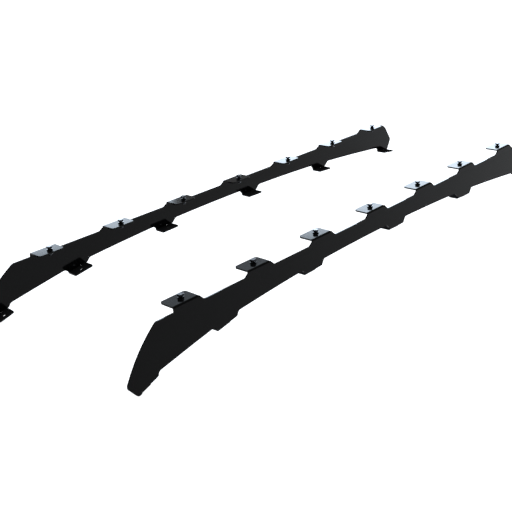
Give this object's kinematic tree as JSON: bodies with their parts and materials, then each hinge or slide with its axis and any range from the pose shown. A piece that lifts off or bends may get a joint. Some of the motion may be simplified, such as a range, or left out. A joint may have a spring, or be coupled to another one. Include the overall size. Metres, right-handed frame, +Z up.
{
  "type": "pair of roof rack foot rails",
  "caption": "Mirrored pair of folded black steel rails with level top tabs, hexagon bolts for a rack and pierced feet that follow an arched roof.",
  "frame": {"origin": "midway between the rails, level with the tops of the tabs, at the middle tab", "axes": "X across the pair towards the right rail, Y from the front end to the rear end, Z up"},
  "size_m": [0.5836, 1.7361, 0.1535],
  "materials": {
    "black_coat": "satin black powder coat",
    "dark_steel": "black zinc"
  },
  "bodies": {
    "root": {"left_rail": "black_coat", "right_rail": "black_coat", "left_bolt_1": "dark_steel", "left_upper_washer_1": "dark_steel", "left_lower_washer_1": "dark_steel", "left_nut_1": "dark_steel", "left_bolt_2": "dark_steel", "left_upper_washer_2": "dark_steel", "left_lower_washer_2": "dark_steel", "left_nut_2": "dark_steel", "left_bolt_3": "dark_steel", "left_upper_washer_3": "dark_steel", "left_lower_washer_3": "dark_steel", "left_nut_3": "dark_steel", "left_bolt_4": "dark_steel", "left_upper_washer_4": "dark_steel", "left_lower_washer_4": "dark_steel", "left_nut_4": "dark_steel", "left_bolt_5": "dark_steel", "left_upper_washer_5": "dark_steel", "left_lower_washer_5": "dark_steel", "left_nut_5": "dark_steel", "left_bolt_6": "dark_steel", "left_upper_washer_6": "dark_steel", "left_lower_washer_6": "dark_steel", "left_nut_6": "dark_steel", "left_bolt_7": "dark_steel", "left_upper_washer_7": "dark_steel", "left_lower_washer_7": "dark_steel", "left_nut_7": "dark_steel", "right_bolt_1": "dark_steel", "right_upper_washer_1": "dark_steel", "right_lower_washer_1": "dark_steel", "right_nut_1": "dark_steel", "right_bolt_2": "dark_steel", "right_upper_washer_2": "dark_steel", "right_lower_washer_2": "dark_steel", "right_nut_2": "dark_steel", "right_bolt_3": "dark_steel", "right_upper_washer_3": "dark_steel", "right_lower_washer_3": "dark_steel", "right_nut_3": "dark_steel", "right_bolt_4": "dark_steel", "right_upper_washer_4": "dark_steel", "right_lower_washer_4": "dark_steel", "right_nut_4": "dark_steel", "right_bolt_5": "dark_steel", "right_upper_washer_5": "dark_steel", "right_lower_washer_5": "dark_steel", "right_nut_5": "dark_steel", "right_bolt_6": "dark_steel", "right_upper_washer_6": "dark_steel", "right_lower_washer_6": "dark_steel", "right_nut_6": "dark_steel", "right_bolt_7": "dark_steel", "right_upper_washer_7": "dark_steel", "right_lower_washer_7": "dark_steel", "right_nut_7": "dark_steel"}
  },
  "joints": []
}
